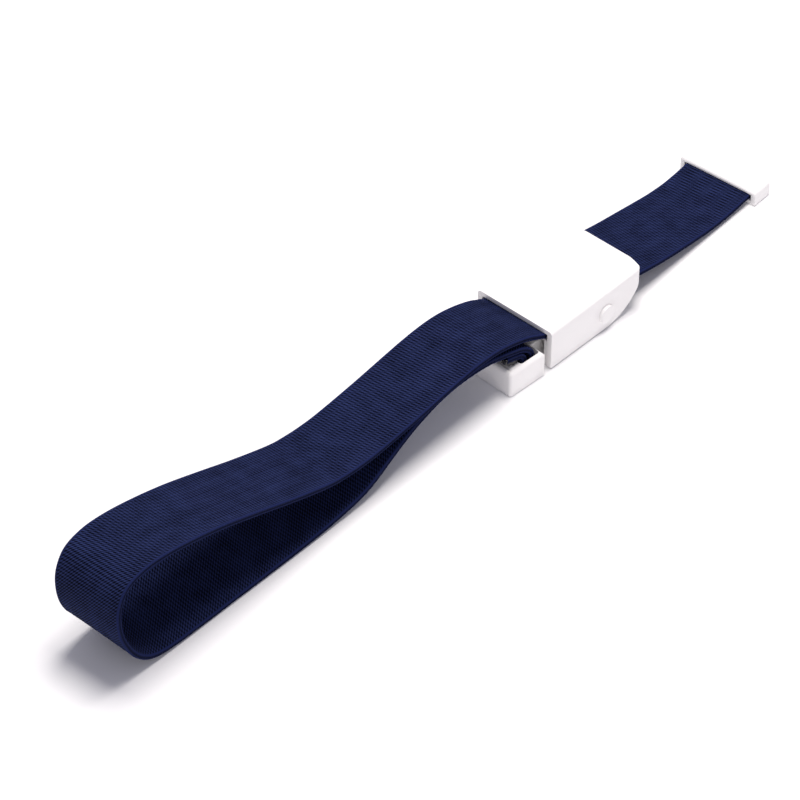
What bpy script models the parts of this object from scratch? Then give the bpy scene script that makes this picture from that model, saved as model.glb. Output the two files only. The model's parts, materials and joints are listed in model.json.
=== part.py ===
"""Quick-release tourniquet: an elastic strap that runs through a lever buckle, is looped round a limb, and
is sewn to a plug that slides into the buckle's mouth. Metres, +Z up, standing on z = 0.

The origin is on the underside of the buckle's tray. +X runs along the strap from the loop to the free end.
"""

import math

import bmesh
import bpy
from mathutils import Matrix, Vector

for old in list(bpy.data.objects):
    bpy.data.objects.remove(old, do_unlink=True)

MM = 0.001
GAP = 0.3 * MM
NEAR = 0.01 * MM

# Elastic strap
STRAP_WIDTH = 25.0 * MM
STRAP_THICK = 1.8 * MM

# Buckle: lengths are measured from its mouth, the open end that faces the loop
MOUTH_X = -13.0 * MM
COVER_WIDTH = 30.2 * MM
COVER_TOP = 14.5 * MM
COVER_WALL = 1.85 * MM
COVER_ROOF = 1.6 * MM
THIN_ROOF = 1.0 * MM
THIN_FROM = 34.0 * MM
COVER_LIFT = 0.4 * MM
BOW_START = 25.4 * MM
BOW_RADIUS = 18.2 * MM
SHOULDER = 1.3 * MM
HEEL_SWEEP = 2.3 * MM
REAR_CORNER = 2.5 * MM
TRAY_FLOOR = 1.5 * MM
TRAY_WALL = 1.25 * MM
DECK_TOP = 9.15 * MM
DECK_THICK = 1.1 * MM
DECK_LENGTH = 18.0 * MM

# Lever pivot, on the trunnions of the tray
PIVOT_X = MOUTH_X + 25.2 * MM
PIVOT_Z = 6.6 * MM
TRUNNION_RADIUS = 3.0 * MM
TRUNNION_PROUD = 1.0 * MM
PIN_RADIUS = 1.1 * MM
WIRE = 0.8 * MM

# Plug: lengths are measured back from the rear face of its head, which faces the mouth
PLUG_X = MOUTH_X - 2.8 * MM
PLUG_Y = -0.9 * MM
PLUG_YAW = math.radians(-2.5)
HEAD_LENGTH = 14.7 * MM
HEAD_WIDTH = 29.0 * MM
HEAD_HEIGHT = 9.3 * MM
TONGUE_LENGTH = 13.5 * MM
BAR_RADIUS = 1.5 * MM
BAR_BACK = 4.8 * MM
BAR_Z = 4.7 * MM

# Loop and free end
LOOP_YAW = math.radians(1.1)
FLOOR_ROLL = math.radians(8.0)
TAIL_YAW = math.radians(3.2)
TAIL_ROLL = math.radians(5.0)
TAIL_BEND_X = MOUTH_X + 36.0 * MM
CLIP_X = MOUTH_X + 100.6 * MM
CLIP_DEPTH = 8.0 * MM
CLIP_WIDTH = 29.5 * MM
CLIP_JAW = 1.4 * MM


# ---------------------------------------------------------------- helpers
def material(name, colour, roughness, metallic=0.0):
    made = bpy.data.materials.get(name)
    if made is None:
        made = bpy.data.materials.new(name)
        made.use_nodes = True
        shader = made.node_tree.nodes["Principled BSDF"]
        shader.inputs["Base Color"].default_value = (*colour, 1.0)
        shader.inputs["Roughness"].default_value = roughness
        shader.inputs["Metallic"].default_value = metallic
    return made


def white_abs():
    return material("white_abs", (0.90, 0.88, 0.87), 0.35)


def navy_webbing():
    return material("navy_webbing", (0.018, 0.024, 0.075), 0.9)


def spring_steel():
    return material("spring_steel", (0.55, 0.55, 0.56), 0.3, 1.0)


def place(name, bm, finish):
    """Turns a bmesh into a named object, with its faces pointing out."""
    bmesh.ops.recalc_face_normals(bm, faces=bm.faces)
    mesh = bpy.data.meshes.new(name)
    bm.to_mesh(mesh)
    bm.free()
    mesh.materials.append(finish)
    made = bpy.data.objects.new(name, mesh)
    bpy.context.scene.collection.objects.link(made)
    return made


def move_origin(piece, point):
    """Puts a piece's origin at a point and leaves its shape where it is."""
    piece.data.transform(Matrix.Translation(-Vector(point)))
    piece.location = point


def box_mesh(low, high):
    bm = bmesh.new()
    bmesh.ops.create_cube(bm, size=1.0)
    size = [b - a for a, b in zip(low, high)]
    middle = [(a + b) / 2 for a, b in zip(low, high)]
    bmesh.ops.transform(bm, matrix=Matrix.Translation(middle) @ Matrix.Diagonal((*size, 1.0)), verts=bm.verts)
    return bm


def prism_mesh(outline, y_low, y_high):
    """A closed outline in the XZ plane, drawn out along Y."""
    bm = bmesh.new()
    corners = [bm.verts.new((x, y_low, z)) for x, z in outline]
    face = bm.faces.new(corners)
    grown = bmesh.ops.extrude_face_region(bm, geom=[face])
    moved = [v for v in grown["geom"] if isinstance(v, bmesh.types.BMVert)]
    bmesh.ops.translate(bm, vec=(0, y_high - y_low, 0), verts=moved)
    return bm


def rod_mesh(x, z, radius, y_low, y_high, sides=32):
    """A round bar along Y."""
    bm = bmesh.new()
    bmesh.ops.create_cone(
        bm, cap_ends=True, segments=sides, radius1=radius, radius2=radius, depth=y_high - y_low
    )
    turn = Matrix.Rotation(math.pi / 2, 4, "X")
    bmesh.ops.transform(bm, matrix=Matrix.Translation((x, (y_low + y_high) / 2, z)) @ turn, verts=bm.verts)
    return bm


def combine(piece, operation, bm):
    """Adds a Boolean modifier to a piece. The second shape stays in the file as a hidden guide."""
    guide = place(f"guide_{piece.name}_{len(piece.modifiers)}", bm, piece.data.materials[0])
    guide.hide_render = True
    guide.display_type = "WIRE"
    step = piece.modifiers.new(operation.lower(), "BOOLEAN")
    step.operation = operation
    step.solver = "EXACT"
    step.object = guide
    return guide


def cut(piece, bm):
    return combine(piece, "DIFFERENCE", bm)


def join(piece, bm):
    return combine(piece, "UNION", bm)


def arc(centre, radius, start_deg, end_deg, steps):
    """Points along a circle in the XZ plane, from one angle to another."""
    turns = [math.radians(start_deg + (end_deg - start_deg) * i / steps) for i in range(steps + 1)]
    return [(centre[0] + radius * math.cos(a), centre[1] + radius * math.sin(a)) for a in turns]


def smooth_route(points, steps):
    """A Catmull-Rom curve through a list of points."""
    ends = [2 * points[0] - points[1], *points, 2 * points[-1] - points[-2]]
    route = []
    for a, b, c, d in zip(ends, ends[1:], ends[2:], ends[3:]):
        for i in range(steps):
            t = i / steps
            bend = 2 * b + (c - a) * t + (2 * a - 5 * b + 4 * c - d) * t * t
            route.append((bend + (3 * b - a - 3 * c + d) * t ** 3) / 2)
    route.append(points[-1])
    return route


def band_mesh(route, side_of):
    """A flat band that follows a route. side_of gives the direction across the band at a point."""
    bm = bmesh.new()
    rings = []
    for i, point in enumerate(route):
        along = (route[min(i + 1, len(route) - 1)] - route[max(i - 1, 0)]).normalized()
        side = side_of(point)
        side = (side - along * side.dot(along)).normalized()
        up = along.cross(side)
        across = side * STRAP_WIDTH / 2
        out = up * STRAP_THICK / 2
        corners = (point - across - out, point + across - out, point + across + out, point - across + out)
        rings.append([bm.verts.new(c) for c in corners])
    for near, far in zip(rings, rings[1:]):
        for k in range(4):
            bm.faces.new((near[k], near[(k + 1) % 4], far[(k + 1) % 4], far[k]))
    bm.faces.new(rings[0])
    bm.faces.new(rings[-1])
    return bm


def ramp(value, low, high):
    """0 below low, 1 above high, and a smooth step between."""
    t = min(max((value - low) / (high - low), 0.0), 1.0)
    return t * t * (3 - 2 * t)


# ---------------------------------------------------------------- elastic strap
# Heights of the band's middle in mm, at lengths in mm from the mouth. The route starts in the end clip,
# goes back through the buckle, along the top of the loop, round its end, and forward along the table.
TAIL_ROUTE = (
    (105.6, 2.55), (100.0, 2.55), (94.0, 2.15), (88.0, 2.0), (80.0, 2.6), (72.0, 3.8), (62.0, 5.5),
    (54.0, 7.0), (47.0, 8.6), (42.0, 9.7), (36.0, 10.45), (28.0, 10.4),
)
CLAMPED_ROUTE = ((16.0, 10.35), (9.0, 10.35), (4.0, 10.9), (0.0, 11.7))
LOOP_ROUTE = (
    (-7.5, 15.5), (-15.0, 18.1), (-22.5, 19.7), (-30.0, 20.1), (-37.5, 19.7), (-45.0, 18.9),
    (-60.0, 17.1), (-75.0, 15.8), (-82.5, 15.7), (-90.0, 16.3), (-97.5, 17.7), (-112.5, 22.5),
    (-127.5, 27.9), (-142.5, 33.0), (-157.5, 36.9), (-168.0, 38.6), (-175.0, 38.5), (-180.8, 36.4),
    (-184.0, 31.2), (-184.6, 25.0), (-183.4, 18.2), (-180.2, 11.7), (-175.3, 6.8), (-169.5, 4.0),
    (-161.8, 3.0), (-152.0, 2.7), (-142.0, 2.67), (-136.0, 2.62), (-130.0, 2.4), (-121.0, 1.95),
    (-112.0, 1.45), (-102.0, 1.35), (-92.0, 2.1), (-84.0, 3.3),
)
RISE_ROUTE = (
    (-83.4, 3.4), (-78.0, 5.0), (-70.0, 8.6), (-64.0, 11.2), (-57.0, 13.6), (-49.0, 15.7),
    (-41.0, 17.05), (-33.0, 17.45), (-25.0, 17.1), (-18.0, 15.7), (-13.4, 14.45), (-10.6, 13.6),
    (-8.2, 12.2), (-6.3, 10.2),
)
TAIL_BACK_ROUTE = ((-9.8, 7.3), (-9.3, 9.3), (-10.5, 11.1), (-12.6, 11.9), (-15.0, 12.5), (-16.8, 12.9))


def tail_side(point):
    """Direction across the free end, which leaves the buckle turned and a little rolled."""
    turned = TAIL_YAW * ramp(point.x, TAIL_BEND_X - 8 * MM, TAIL_BEND_X + 16 * MM)
    rolled = TAIL_ROLL * ramp(point.x, MOUTH_X + 28 * MM, MOUTH_X + 46 * MM)
    rolled *= 1 - ramp(point.x, MOUTH_X + 54 * MM, MOUTH_X + 98 * MM)
    return Vector((-math.sin(turned), math.cos(turned), math.sin(rolled)))


def loop_side(point):
    """Direction across the loop, whose lower run lies on its near edge with its far edge lifted."""
    rolled = FLOOR_ROLL * (1 - ramp(point.x, MOUTH_X - 140 * MM, MOUTH_X - 100 * MM))
    rolled *= 1 - ramp(point.z, 4 * MM, 16 * MM)
    return Vector((-math.sin(LOOP_YAW), math.cos(LOOP_YAW), math.sin(rolled)))


def strap_side(point):
    return tail_side(point) if point.x > MOUTH_X else loop_side(point)


def strap_point(length, height):
    """A point of the main band: straight in the buckle, turned a little on both sides of it."""
    x = length * MM
    aside = min(x, 0.0) * math.tan(LOOP_YAW)
    past = x - (TAIL_BEND_X - MOUTH_X)
    aside += max(past, 0.0) * math.tan(TAIL_YAW)
    return Vector((MOUTH_X + x, aside, height * MM))


def plug_frame():
    return Matrix.Translation((PLUG_X, PLUG_Y, 0.0)) @ Matrix.Rotation(PLUG_YAW, 4, "Z")


def plug_end_yaw(x):
    """The sewn end turns from the loop's direction to the plug's."""
    share = ramp(x, MOUTH_X - 84 * MM, MOUTH_X - 24 * MM)
    return LOOP_YAW + (PLUG_YAW - LOOP_YAW) * share


def plug_end_side(point):
    turned = plug_end_yaw(point.x)
    return Vector((-math.sin(turned), math.cos(turned), 0.0))


def plug_end_point(length, height):
    """A point of the sewn end: on the loop's line at its start, and on the plug's line at the plug."""
    x = length * MM
    on_loop = x * math.tan(LOOP_YAW)
    on_plug = PLUG_Y + (MOUTH_X + x - PLUG_X) * math.tan(PLUG_YAW)
    share = ramp(x, -84 * MM, -24 * MM)
    return Vector((MOUTH_X + x, on_loop + (on_plug - on_loop) * share, height * MM))


def add_strap():
    points = [strap_point(*p) for p in TAIL_ROUTE + CLAMPED_ROUTE + LOOP_ROUTE]
    return place("strap", band_mesh(smooth_route(points, 3), strap_side), navy_webbing())


def add_strap_plug_end():
    """The sewn end: it rises under the top run, arches down into the plug and goes round the bar."""
    turn = BAR_RADIUS + GAP + STRAP_THICK / 2
    bar_x = (PLUG_X - BAR_BACK - MOUTH_X) / MM
    round_bar = arc((bar_x, BAR_Z / MM), turn / MM, 30, -200, 12)
    points = [plug_end_point(*p) for p in (*RISE_ROUTE, *round_bar, *TAIL_BACK_ROUTE)]
    return place("strap_plug_end", band_mesh(smooth_route(points, 3), plug_end_side), navy_webbing())


def add_strap_tack():
    """The thread tack that holds the tail to the strap, on the tail's underside."""
    middle = plug_end_point(-15.2, 12.56)
    low = Vector((-1.2 * MM, -9.5 * MM, -0.2 * MM))
    bm = box_mesh(low, -low)
    slope = Matrix.Rotation(math.radians(13.0), 4, "Y")
    under = Vector((0.0, 0.0, -(STRAP_THICK / 2 + GAP + 0.2 * MM)))
    where = Matrix.Translation(middle) @ Matrix.Rotation(PLUG_YAW, 4, "Z") @ slope
    bmesh.ops.transform(bm, matrix=where @ Matrix.Translation(under), verts=bm.verts)
    return place("strap_tack", bm, material("navy_thread", (0.02, 0.028, 0.09), 0.5))


# ---------------------------------------------------------------- buckle
def bow_outline(front, lift, top, inset):
    """Side view of the buckle: flat underneath, then one large bow up to the far end."""
    centre = (MOUTH_X + BOW_START, COVER_LIFT + BOW_RADIUS)
    radius = BOW_RADIUS - inset
    end = math.degrees(math.asin((top - centre[1]) / radius))
    start = -90 if lift <= centre[1] - radius else math.degrees(math.asin((lift - centre[1]) / radius))
    curve = arc(centre, radius, start, end, 14)
    return [(front, top), (front, lift), *curve] if curve[0][0] > front else curve


def heel_plan():
    """Top view of the cover's far end: a shallow bow with a round corner at each side."""
    half = COVER_WIDTH / 2
    heel = MOUTH_X + BOW_START + BOW_RADIUS
    turn = 20
    bow_half = half - REAR_CORNER * (1 - math.sin(math.radians(turn)))
    swept = [bow_half * i / 5 for i in range(-5, 6)]
    bow = [(heel - HEEL_SWEEP * (abs(y) / half) ** 3, y) for y in swept]
    corner_x = bow[0][0] - REAR_CORNER * math.cos(math.radians(turn))
    near = arc((corner_x, REAR_CORNER - half), REAR_CORNER, -90, -turn, 4)
    far = [(x, -y) for x, y in reversed(near)]
    wide = half + 1 * MM
    front = MOUTH_X - 5 * MM
    sides = [(front, wide), (front, -wide), (corner_x, -wide)]
    return [*sides, *near[:-1], *bow, *far[1:], (corner_x, wide)]


def add_lever_cover():
    """The outer cover: a bow-ended shell that is open below and at both ends, with the clamping jaw."""
    half = COVER_WIDTH / 2
    outline = bow_outline(MOUTH_X, COVER_LIFT, COVER_TOP, 0.0)
    bm = prism_mesh(outline, -half, half)
    long_edges = []
    for edge in bm.edges:
        ends = [v.co for v in edge.verts]
        on_top = all(abs(c.z - COVER_TOP) < NEAR for c in ends)
        if on_top and abs(ends[0].y - ends[1].y) < NEAR:
            long_edges.append(edge)
    bmesh.ops.bevel(
        bm, geom=long_edges, offset=SHOULDER, segments=4, profile=0.5, affect="EDGES", material=-1
    )
    cover = place("lever_cover", bm, white_abs())
    plan = prism_mesh(heel_plan(), -COVER_TOP - 5 * MM, 5 * MM)
    bmesh.ops.rotate(plan, matrix=Matrix.Rotation(-math.pi / 2, 3, "X"), verts=plan.verts)
    combine(cover, "INTERSECT", plan)
    inner = half - COVER_WALL
    cut(cover, box_mesh(
        (MOUTH_X - 5 * MM, -inner, -5 * MM), (MOUTH_X + 60 * MM, inner, COVER_TOP - COVER_ROOF)
    ))
    cut(cover, box_mesh(
        (MOUTH_X + THIN_FROM, -inner, 5 * MM), (MOUTH_X + 60 * MM, inner, COVER_TOP - THIN_ROOF)
    ))
    cut(cover, rod_mesh(PIVOT_X, PIVOT_Z, TRUNNION_RADIUS + GAP, -half - 5 * MM, half + 5 * MM, 40))
    jaw_low = DECK_TOP + STRAP_THICK + 2 * GAP
    roof = COVER_TOP - COVER_ROOF
    teeth = [(MOUTH_X + 6.6 * MM, roof + 0.4 * MM)]
    for i in range(4):
        teeth.append((MOUTH_X + (6.6 + 1.2 * i) * MM, jaw_low + 0.6 * MM))
        teeth.append((MOUTH_X + (7.5 + 1.2 * i) * MM, jaw_low))
    teeth.append((MOUTH_X + 11.4 * MM, jaw_low + 0.6 * MM))
    teeth.append((MOUTH_X + 11.4 * MM, roof + 0.4 * MM))
    join(cover, prism_mesh(teeth, -12.2 * MM, 12.2 * MM))
    for side in (-1, 1):
        low, high = sorted((side * 9.2 * MM, side * (inner + 0.5 * MM)))
        join(cover, box_mesh((MOUTH_X + 9 * MM, low, 3.6 * MM), (MOUTH_X + 12 * MM, high, 5.6 * MM)))
    move_origin(cover, (PIVOT_X, 0.0, PIVOT_Z))
    return cover


def tray_top(length):
    """Height of the tray's walls, just under the strap all the way."""
    return DECK_TOP + (10.05 * MM - DECK_TOP) * (1 - ramp(length, 1.0 * MM, 6.0 * MM))


def add_buckle_base():
    """The tray: bowed floor, two walls, the strap deck, a rear bar and the trunnions."""
    outer = COVER_WIDTH / 2 - COVER_WALL - GAP
    inner = outer - TRAY_WALL
    front = MOUTH_X + 0.4 * MM
    centre = (MOUTH_X + BOW_START, COVER_LIFT + BOW_RADIUS)
    end_angle = -47
    under = arc(centre, BOW_RADIUS, -90, end_angle, 10)
    under = [(x, z - COVER_LIFT * (1 - i / 10)) for i, (x, z) in enumerate(under)]
    rear_x = under[-1][0]
    rear_top = 6.8 * MM
    steps = [1.0, 2.0, 3.0, 4.0, 5.0, 6.0]
    crest = [(MOUTH_X + s * MM, tray_top(s * MM)) for s in steps]
    outline = [(front, 0.0), *under, (rear_x, rear_top), (MOUTH_X + 33 * MM, DECK_TOP - 1.1 * MM)]
    outline += [(MOUTH_X + 27 * MM, DECK_TOP), *reversed(crest), (front, tray_top(0.0))]
    base = place("buckle_base", prism_mesh(outline, -outer, outer), white_abs())
    rear_wall = rear_x - 1.6 * MM
    floor_curve = arc(centre, BOW_RADIUS - TRAY_FLOOR, -90, end_angle - 2, 10)
    floor_curve = [(x, z) for x, z in floor_curve if x < rear_wall]
    floor_curve[0] = (floor_curve[0][0], TRAY_FLOOR)
    hollow = [(MOUTH_X - 5 * MM, TRAY_FLOOR), *floor_curve]
    hollow += [(rear_wall, floor_curve[-1][1] + 1 * MM), (rear_wall, 20 * MM), (MOUTH_X - 5 * MM, 20 * MM)]
    cut(base, prism_mesh(hollow, -inner, inner))
    deck_low = DECK_TOP - DECK_THICK
    join(base, box_mesh(
        (MOUTH_X + 1.5 * MM, -inner - 0.3 * MM, deck_low), (MOUTH_X + DECK_LENGTH, inner + 0.3 * MM, DECK_TOP)
    ))
    for side in (-1, 1):
        low, high = sorted((side * 8.8 * MM, side * 20 * MM))
        cut(base, box_mesh((MOUTH_X + 8 * MM, low, 3.2 * MM), (MOUTH_X + 13.4 * MM, high, 20 * MM)))
        low, high = sorted((side * (outer - GAP), side * (COVER_WIDTH / 2 + TRUNNION_PROUD)))
        join(base, rod_mesh(PIVOT_X, PIVOT_Z, TRUNNION_RADIUS, low, high, 40))
    cut(base, rod_mesh(PIVOT_X, PIVOT_Z, PIN_RADIUS + 0.15 * MM, -14.2 * MM, 14.2 * MM, 24))
    return base


def add_spring_pin():
    return place("spring_pin", rod_mesh(PIVOT_X, PIVOT_Z, PIN_RADIUS, -13.9 * MM, 13.9 * MM, 24), spring_steel())


def tube_object(name, points, radius):
    """A wire: a curve with a round bevel and filled caps."""
    curve = bpy.data.curves.new(name, "CURVE")
    curve.dimensions = "3D"
    curve.bevel_depth = radius
    curve.bevel_resolution = 1
    curve.use_fill_caps = True
    curve.materials.append(spring_steel())
    spline = curve.splines.new("POLY")
    spline.points.add(len(points) - 1)
    for slot, point in zip(spline.points, points):
        slot.co = (*point, 1.0)
    made = bpy.data.objects.new(name, curve)
    bpy.context.scene.collection.objects.link(made)
    return made


def add_lever_spring(name, side):
    """Torsion spring on the pin. Its front leg bears on the cover's lug, its rear leg on the tray's floor."""
    coil = PIN_RADIUS + 0.3 * MM + WIRE / 2
    turns = 2.5
    pitch = WIRE + 0.08 * MM
    per_turn = 16
    steps = int(turns * per_turn)
    inner_y = 9.0 * MM
    points = [Vector((MOUTH_X + 33 * MM, side * inner_y, TRAY_FLOOR + 3.3 * MM))]
    for i in range(steps + 1):
        angle = math.radians(-62) + 2 * math.pi * i / per_turn
        y = side * (inner_y + pitch * i / per_turn)
        points.append(Vector((PIVOT_X + coil * math.cos(angle), y, PIVOT_Z + coil * math.sin(angle))))
    points.append(Vector((MOUTH_X + 10.2 * MM, points[-1].y, 5.6 * MM + GAP + WIRE / 2)))
    return tube_object(name, points, WIRE / 2)


# ---------------------------------------------------------------- plug
def add_plug_body():
    """The plug: a pocketed head, and a tongue with low side rails for the catch lugs."""
    half = HEAD_WIDTH / 2
    bm = box_mesh((-HEAD_LENGTH, -half, 0.0), (0.0, half, HEAD_HEIGHT))
    uprights = []
    rims = []
    for edge in bm.edges:
        ends = [v.co for v in edge.verts]
        if all(c.x < -HEAD_LENGTH / 2 for c in ends) and abs(ends[0].z - ends[1].z) > NEAR:
            uprights.append(edge)
    bmesh.ops.bevel(
        bm, geom=uprights, offset=1.3 * MM, segments=4, profile=0.5, affect="EDGES", material=-1
    )
    for edge in bm.edges:
        ends = [v.co for v in edge.verts]
        if all(abs(c.z - HEAD_HEIGHT) < NEAR for c in ends):
            rims.append(edge)
    bmesh.ops.bevel(bm, geom=rims, offset=0.9 * MM, segments=3, profile=0.5, affect="EDGES", material=-1)
    bmesh.ops.transform(bm, matrix=plug_frame(), verts=bm.verts)
    plug = place("plug_body", bm, white_abs())
    pocket = box_mesh((-8.9 * MM, -13.2 * MM, 0.8 * MM), (-0.9 * MM, 13.2 * MM, 30 * MM))
    core = box_mesh((-0.5 * MM, -7.6 * MM, 1.8 * MM), (TONGUE_LENGTH, 7.6 * MM, 7.4 * MM))
    rails = box_mesh((-0.5 * MM, -9.8 * MM, 1.8 * MM), (TONGUE_LENGTH - 1 * MM, 9.8 * MM, 3.3 * MM))
    bore = rod_mesh(-BAR_BACK, BAR_Z, BAR_RADIUS + 0.15 * MM, -13.75 * MM, 13.75 * MM, 24)
    for shape, action in ((pocket, cut), (core, join), (rails, join), (bore, cut)):
        bmesh.ops.transform(shape, matrix=plug_frame(), verts=shape.verts)
        action(plug, shape)
    return plug


def add_plug_bar():
    bm = rod_mesh(-BAR_BACK, BAR_Z, BAR_RADIUS, -13.6 * MM, 13.6 * MM, 24)
    bmesh.ops.transform(bm, matrix=plug_frame(), verts=bm.verts)
    return place("plug_bar", bm, spring_steel())


# ---------------------------------------------------------------- end clip
def add_end_clip():
    """A U-section clip: two jaws joined at the back, closed on the strap's free end."""
    clear = STRAP_THICK + 2 * 0.25 * MM
    height = 2 * CLIP_JAW + clear
    half = CLIP_WIDTH / 2
    bm = box_mesh((0.0, -half, 0.0), (CLIP_DEPTH, half, height))
    edges = [e for e in bm.edges if all(v.co.z > height / 2 for v in e.verts)]
    bmesh.ops.bevel(bm, geom=edges, offset=0.8 * MM, segments=3, profile=0.5, affect="EDGES", material=-1)
    aside = (CLIP_X - TAIL_BEND_X) * math.tan(TAIL_YAW)
    where = Matrix.Translation((CLIP_X, aside, 0.0)) @ Matrix.Rotation(TAIL_YAW, 4, "Z")
    bmesh.ops.transform(bm, matrix=where, verts=bm.verts)
    clip = place("end_clip", bm, white_abs())
    throat = box_mesh((-5 * MM, -13.1 * MM, CLIP_JAW), (CLIP_DEPTH - 1.9 * MM, 13.1 * MM, CLIP_JAW + clear))
    bmesh.ops.transform(throat, matrix=where, verts=throat.verts)
    cut(clip, throat)
    return clip


add_buckle_base()
add_lever_cover()
add_spring_pin()
add_lever_spring("lever_spring_near", -1)
add_lever_spring("lever_spring_far", 1)
add_plug_body()
add_plug_bar()
add_strap()
add_strap_plug_end()
add_strap_tack()
add_end_clip()
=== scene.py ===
"""Looks of the quick-release tourniquet: an elastic strap, its lever buckle, its plug and its end clip.

The sections follow the object as it is put together: the band first, then the sewn end and its plug, then the
buckle's tray, springs and lever cover that close on the band, and last the clip on the band's free end.
"""

import json
import math

import bmesh
import bpy
from mathutils import Matrix, Vector, noise


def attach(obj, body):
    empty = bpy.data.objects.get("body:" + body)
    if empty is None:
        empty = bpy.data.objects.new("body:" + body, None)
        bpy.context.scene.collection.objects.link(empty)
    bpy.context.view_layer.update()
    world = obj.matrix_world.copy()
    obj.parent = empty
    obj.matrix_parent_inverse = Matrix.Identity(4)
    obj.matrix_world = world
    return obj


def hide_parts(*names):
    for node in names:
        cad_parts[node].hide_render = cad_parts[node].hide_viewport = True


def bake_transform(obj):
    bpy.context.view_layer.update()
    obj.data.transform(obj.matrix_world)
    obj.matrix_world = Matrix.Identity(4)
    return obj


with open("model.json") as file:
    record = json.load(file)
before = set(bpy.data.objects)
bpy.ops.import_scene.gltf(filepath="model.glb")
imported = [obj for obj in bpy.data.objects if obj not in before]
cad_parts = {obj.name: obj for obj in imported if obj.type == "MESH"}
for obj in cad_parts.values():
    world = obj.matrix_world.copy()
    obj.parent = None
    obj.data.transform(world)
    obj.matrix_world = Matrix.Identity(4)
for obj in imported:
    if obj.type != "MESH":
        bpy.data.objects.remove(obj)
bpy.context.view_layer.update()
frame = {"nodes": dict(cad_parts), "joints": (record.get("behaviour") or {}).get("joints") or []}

# ---------------------------------------------------------------- studio
# A white table in a white tent, lit by a soft box overhead and a weak one low in front of the loop. The
# camera is a long lens on the loop's near side, 42 degrees above the table.
MM = 0.001


def linear(code):
    """An sRGB hex colour as linear numbers with an alpha of 1."""
    parts = [int(code[i:i + 2], 16) / 255 for i in (1, 3, 5)]
    return (*[c / 12.92 if c <= 0.04045 else ((c + 0.055) / 1.055) ** 2.4 for c in parts], 1.0)


def add_node(tree, kind, settings=None, **inputs):
    """Adds a node. Settings are its properties, and each input is a value or the socket that feeds it."""
    node = tree.nodes.new(kind)
    for name, value in (settings or {}).items():
        setattr(node, name, value)
    for name, value in inputs.items():
        socket = node.inputs[int(name[1:])] if name[1:].isdigit() else node.inputs[name.replace("_", " ")]
        if isinstance(value, bpy.types.NodeSocket):
            tree.links.new(value, socket)
        else:
            socket.default_value = value
    return node


VIEW_AZIMUTH = math.radians(-47.2)
VIEW_HEIGHT = math.radians(42.2)
VIEW_DISTANCE = 1.512
VIEW_CENTRE = Vector((-54.4, 9.2, 0.0)) * MM
LENS = 225.0
FLOOR_SIZE = 3.0
FLOOR_DROP = 0.1 * MM
SOFT_BOX_SIZE = 0.55
SOFT_BOX_WATTS = 13.0
SOFT_BOX_SPOT = Vector((0.09, 0.04, 1.1))
FILL_SIZE = 0.45
FILL_WATTS = 0.9
FILL_SPOT = Vector((-0.45, -0.72, 0.36))
TENT_STRENGTH = 0.36
TENT_SEEN = 1.1

level = math.cos(VIEW_HEIGHT)
towards_camera = Vector((
    math.sin(VIEW_AZIMUTH) * level, -math.cos(VIEW_AZIMUTH) * level, math.sin(VIEW_HEIGHT)
))
camera = bpy.data.objects.new("camera", bpy.data.cameras.new("camera"))
bpy.context.scene.collection.objects.link(camera)
camera.data.lens = LENS
camera.data.sensor_width = 36.0
camera.data.clip_start = 0.05
camera.data.clip_end = 20.0
camera.location = VIEW_CENTRE + towards_camera * VIEW_DISTANCE
camera.rotation_euler = (-towards_camera).to_track_quat("-Z", "Y").to_euler()
bpy.context.scene.camera = camera
bpy.context.scene.view_settings.view_transform = "Standard"

bm = bmesh.new()
bmesh.ops.create_grid(bm, x_segments=1, y_segments=1, size=FLOOR_SIZE)
bmesh.ops.translate(bm, vec=(0.0, 0.0, -FLOOR_DROP), verts=bm.verts)
table = bpy.data.objects.new("table", bpy.data.meshes.new("table"))
bm.to_mesh(table.data)
bm.free()
bpy.context.scene.collection.objects.link(table)
paper = bpy.data.materials.new("white_paper")
paper.use_nodes = True
paper_shader = paper.node_tree.nodes["Principled BSDF"]
paper_shader.inputs["Base Color"].default_value = linear("#fbfbfc")
paper_shader.inputs["Roughness"].default_value = 0.95
paper_shader.inputs["Specular IOR Level"].default_value = 0.1
table.data.materials.append(paper)


def add_soft_light(name, size, watts, colour, spot):
    """A square soft box at a spot, turned to the middle of the view."""
    lamp = bpy.data.objects.new(name, bpy.data.lights.new(name, "AREA"))
    lamp.data.shape = "SQUARE"
    lamp.data.size = size
    lamp.data.energy = watts
    lamp.data.color = linear(colour)[:3]
    lamp.location = spot
    lamp.rotation_euler = (lamp.location - VIEW_CENTRE).to_track_quat("Z", "Y").to_euler()
    bpy.context.scene.collection.objects.link(lamp)


add_soft_light("soft_box", SOFT_BOX_SIZE, SOFT_BOX_WATTS, "#fffaf6", SOFT_BOX_SPOT)
add_soft_light("fill_light", FILL_SIZE, FILL_WATTS, "#fffcfa", FILL_SPOT)

tent = bpy.data.worlds.new("white_tent")
tent.use_nodes = True
tent_nodes = tent.node_tree
background = tent_nodes.nodes["Background"]
background.inputs["Color"].default_value = linear("#efeeff")
seen = add_node(tent_nodes, "ShaderNodeLightPath")
strength = add_node(
    tent_nodes, "ShaderNodeMapRange", {}, Value=seen.outputs["Is Camera Ray"],
    To_Min=TENT_STRENGTH, To_Max=TENT_SEEN,
)
tent_nodes.links.new(strength.outputs["Result"], background.inputs["Strength"])
bpy.context.scene.world = tent


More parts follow.
